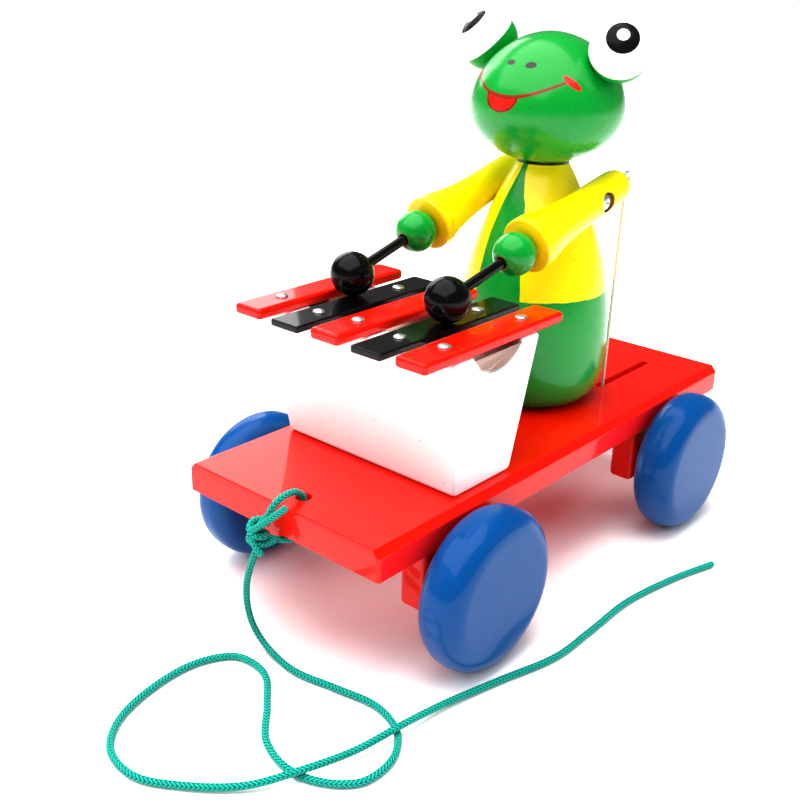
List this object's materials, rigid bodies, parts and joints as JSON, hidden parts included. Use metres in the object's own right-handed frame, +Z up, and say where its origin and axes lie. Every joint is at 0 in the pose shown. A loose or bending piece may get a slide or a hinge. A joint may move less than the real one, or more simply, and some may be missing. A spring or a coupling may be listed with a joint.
{
  "type": "pull-along xylophone frog",
  "caption": "Painted wooden pull-along toy: a frog on a wheeled cart whose cranked rear axle lifts mallet arms over xylophone bars; knotted cord at the front.",
  "frame": {"origin": "on the floor under the middle of the cart", "axes": "-Y towards the cord end, +X towards the frog's left hand side as it faces the cord, +Z up"},
  "size_m": [0.164, 0.3232, 0.222],
  "materials": {
    "red_paint": "gloss red paint over wood",
    "blue_paint": "high gloss blue paint over wood",
    "white_paint": "semi-gloss white paint over wood",
    "black_paint": "semi-gloss black paint over wood",
    "green_paint": "high gloss green paint over wood",
    "yellow_paint": "gloss yellow paint over wood",
    "eye_paint": "high gloss white paint over wood",
    "bare_wood": "bare",
    "steel": "bright",
    "thread": "twisted white thread",
    "cord": "braided turquoise cord"
  },
  "bodies": {
    "cart": {"deck": "red_paint", "bearing_block_front_left": "red_paint", "bearing_block_front_right": "red_paint", "bearing_block_rear_left": "red_paint", "bearing_block_rear_right": "red_paint", "bar_1_red": "red_paint", "bar_3_red": "red_paint", "bar_5_red": "red_paint", "resonator_block": "white_paint", "bar_2_black": "black_paint", "bar_4_black": "black_paint", "frog_body": "green_paint", "frog_head": "green_paint", "eye_left": "eye_paint", "eye_right": "eye_paint", "neck_dowel": "bare_wood", "bar_nail_1_front": "steel", "bar_nail_1_back": "steel", "bar_nail_2_front": "steel", "bar_nail_2_back": "steel", "bar_nail_3_front": "steel", "bar_nail_3_back": "steel", "bar_nail_4_front": "steel", "bar_nail_4_back": "steel", "bar_nail_5_front": "steel", "bar_nail_5_back": "steel", "body_fixing_screw": "steel", "resonator_fixing_screw_left": "steel", "resonator_fixing_screw_right": "steel", "shoulder_screw_left": "steel", "shoulder_screw_right": "steel", "pull_cord": "cord", "cord_loop": "cord", "cord_knot": "cord"},
    "front_wheels": {"front_axle": "steel", "wheel_front_left": "blue_paint", "wheel_front_right": "blue_paint"},
    "rear_wheels": {"rear_crank_axle": "steel", "wheel_rear_left": "blue_paint", "wheel_rear_right": "blue_paint", "crank_loop_left": "thread", "crank_loop_right": "thread"},
    "arm_left": {"arm_left": "yellow_paint", "hand_left": "green_paint", "mallet_stick_left": "black_paint", "mallet_head_left": "black_paint", "tail_eyelet_left": "steel"},
    "arm_right": {"arm_right": "yellow_paint", "hand_right": "green_paint", "mallet_stick_right": "black_paint", "mallet_head_right": "black_paint", "tail_eyelet_right": "steel"},
    "thread_left": {"pull_thread_left": "thread"},
    "thread_right": {"pull_thread_right": "thread"}
  },
  "joints": [
    {"name": "front_axle_spin", "type": "hinge", "parent": "cart", "child": "front_wheels", "pos_m": [0, -0.0754, 0.0315], "axis": [1, 0, 0], "continuous": true},
    {"name": "rear_axle_spin", "type": "hinge", "parent": "cart", "child": "rear_wheels", "pos_m": [0, 0.072, 0.0315], "axis": [1, 0, 0], "continuous": true},
    {"name": "arm_left_lift", "type": "hinge", "parent": "cart", "child": "arm_left", "pos_m": [-0.0261, 0.0316, 0.1518], "axis": [-1, 0, 0], "range_deg": [0, 20]},
    {"name": "arm_right_lift", "type": "hinge", "parent": "cart", "child": "arm_right", "pos_m": [0.0261, 0.0316, 0.1518], "axis": [-1, 0, 0], "range_deg": [0, 20]},
    {"name": "thread_left_turn", "type": "hinge", "parent": "arm_left", "child": "thread_left", "pos_m": [-0.0261, 0.05396, 0.158], "axis": [-1, 0, 0], "range_deg": [-20, 0]},
    {"name": "thread_right_turn", "type": "hinge", "parent": "arm_right", "child": "thread_right", "pos_m": [0.02723, 0.05393, 0.158], "axis": [-1, 0, 0], "range_deg": [-20, 0]}
  ],
  "couplings": [
    {"joint": "thread_left_turn", "follows": "arm_left_lift", "ratio": -1},
    {"joint": "thread_right_turn", "follows": "arm_right_lift", "ratio": -1}
  ]
}
